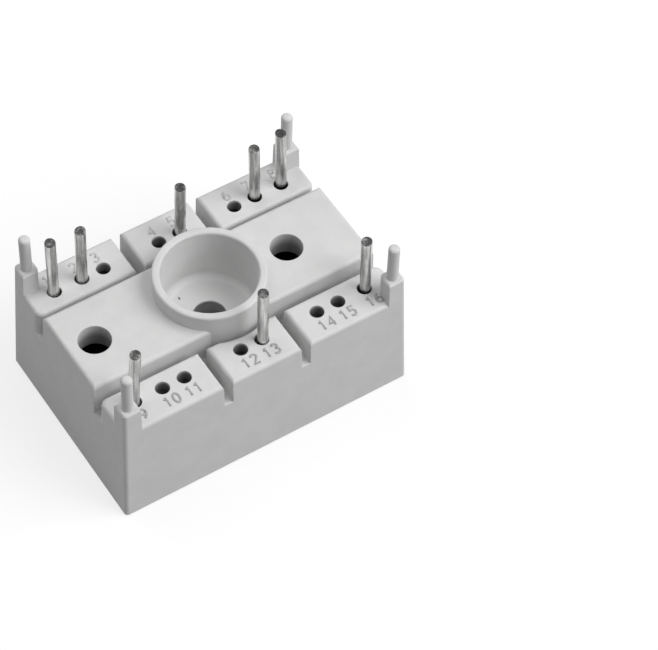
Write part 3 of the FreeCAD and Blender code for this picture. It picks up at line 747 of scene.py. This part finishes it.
# A crumb of the compound lies on the cup's floor, left from the pouring. It is
# a flat lumpy grain, stuck where it fell.
CRUMB_PLACE = Vector((-1.95 * MM, 4.05 * MM, CUP_FLOOR + 2 * SKIN))
CRUMB_SIZE = Vector((0.09 * MM, 0.2 * MM, 0.05 * MM))
CRUMB_LUMPS = 0.25
CRUMB_ROUGHNESS = 0.04
CRUMB_SEED = 3


def crumb_mesh(dice):
    """A lumpy flattened grain, half sunk in its place."""
    bm = bmesh.new()
    bmesh.ops.create_icosphere(bm, subdivisions=3, radius=1.0)
    for vert in bm.verts:
        wave = math.sin(5 * vert.co.x + 3 * vert.co.y) * math.cos(4 * vert.co.z)
        size = 1 + CRUMB_LUMPS * wave + dice.uniform(-CRUMB_ROUGHNESS, CRUMB_ROUGHNESS)
        vert.co = vert.co * size * CRUMB_SIZE + CRUMB_PLACE
    return finished_mesh("crumb", bm)


fixed_piece("compound_crumb", crumb_mesh(random.Random(CRUMB_SEED)), COMPOUND_FINISH)

# Stage: a plain floor that shows white to the camera and in reflections, a
# pale surround, a large soft lamp from the right front and a weaker one from
# behind.
WHITE = (1.0, 1.0, 1.0, 1.0)
FLOOR_SIDE = 3.0
FLOOR_GAP = 0.02 * MM
FLOOR_SEEN = (0.30, 0.30, 0.30, 1.0)
FLOOR_BOUNCE = (0.35, 0.35, 0.35, 1.0)
FLOOR_GLOW = 0.72
SURROUND_STRENGTH = 0.21
LAMP_DISTANCE = 0.6


def seen_share(tree):
    """1 for what the camera sees, straight or in a reflection, and 0 for other light."""
    path = tree.nodes.new("ShaderNodeLightPath").outputs
    return calculate(tree, "MAXIMUM", path["Is Camera Ray"], path["Is Glossy Ray"])


def stage_floor():
    """A large flat floor just below the object, in a soft white."""
    bm = bmesh.new()
    half = FLOOR_SIDE / 2
    corners = ((-half, -half), (half, -half), (half, half), (-half, half))
    bm.faces.new([bm.verts.new((x, y, 0)) for x, y in corners])
    mesh = finished_mesh("floor", bm)
    floor = bpy.data.objects.new("floor", mesh)
    floor.location.z = -FLOOR_GAP
    scene.collection.objects.link(floor)
    material, tree, shader = new_material(
        "floor", Roughness=0.9, Specular_IOR_Level=0.0, Emission_Color=WHITE
    )
    seen = seen_share(tree)
    tree.links.new(mix_colours(tree, seen, FLOOR_BOUNCE, FLOOR_SEEN), shader.inputs["Base Color"])
    tree.links.new(spread(tree, seen, 0.0, FLOOR_GLOW), shader.inputs["Emission Strength"])
    mesh.materials.append(material)


def surround():
    """A pale world that is white to the camera and weaker as a light."""
    world = bpy.data.worlds.new("surround")
    scene.world = world
    world.use_nodes = True
    tree = world.node_tree
    background = tree.nodes["Background"]
    background.inputs["Color"].default_value = WHITE
    strength = spread(tree, seen_share(tree), SURROUND_STRENGTH, 1.0)
    tree.links.new(strength, background.inputs["Strength"])


def soft_lamp(name, azimuth, elevation, power, side):
    """A square lamp that shines at the object from a direction in degrees."""
    azimuth, elevation = math.radians(azimuth), math.radians(elevation)
    flat = math.cos(elevation)
    direction = Vector((flat * math.cos(azimuth), flat * math.sin(azimuth), math.sin(elevation)))
    lamp = bpy.data.lights.new(name, "AREA")
    lamp.size = side
    lamp.energy = power
    holder = bpy.data.objects.new(name, lamp)
    holder.location = direction * LAMP_DISTANCE
    holder.rotation_euler = direction.to_track_quat("Z", "Y").to_euler()
    scene.collection.objects.link(holder)


stage_floor()
surround()
soft_lamp("key_lamp", azimuth=315, elevation=45, power=3.0, side=0.45)
soft_lamp("side_lamp", azimuth=105, elevation=60, power=1.45, side=0.6)

# Camera: a long lens from the front left, high above the object. The aim is
# turned aside so that the object stands left of the middle of the frame.
AZIMUTH = math.radians(-30.979)
ELEVATION = math.radians(53.307)
ROLL = math.radians(2.658)
DISTANCE = 0.3761
TARGET = Vector((0, 0, 9.0 * MM))
PICTURE_WIDTH, PICTURE_HEIGHT = 658, 650
FOCAL_PIXELS = 3056.4
TARGET_PIXEL = (209.86, 323.29)
SENSOR_WIDTH = 36.0
NEAREST_SEEN = 0.01

flat = math.cos(ELEVATION)
back = Vector((math.sin(AZIMUTH) * flat, -math.cos(AZIMUTH) * flat, math.sin(ELEVATION)))
right = Vector((math.cos(AZIMUTH), math.sin(AZIMUTH), 0))
up = right.cross(-back)
aside = PICTURE_WIDTH / 2 - TARGET_PIXEL[0]
above = PICTURE_HEIGHT / 2 - TARGET_PIXEL[1]
forward = (-back * FOCAL_PIXELS + right * aside - up * above).normalized()
level_right = forward.cross(Vector((0, 0, 1))).normalized()
level_up = level_right.cross(forward)
rolled_right = math.cos(ROLL) * level_right + math.sin(ROLL) * level_up
rolled_up = -math.sin(ROLL) * level_right + math.cos(ROLL) * level_up

lens = bpy.data.cameras.new("camera")
lens.sensor_width = SENSOR_WIDTH
lens.lens = FOCAL_PIXELS / PICTURE_WIDTH * SENSOR_WIDTH
lens.clip_start = NEAREST_SEEN
camera = bpy.data.objects.new("camera", lens)
facing = Matrix((rolled_right, rolled_up, -forward)).transposed()
camera.matrix_world = Matrix.Translation(TARGET + back * DISTANCE) @ facing.to_4x4()
scene.collection.objects.link(camera)
scene.camera = camera
scene.view_settings.view_transform = "Standard"
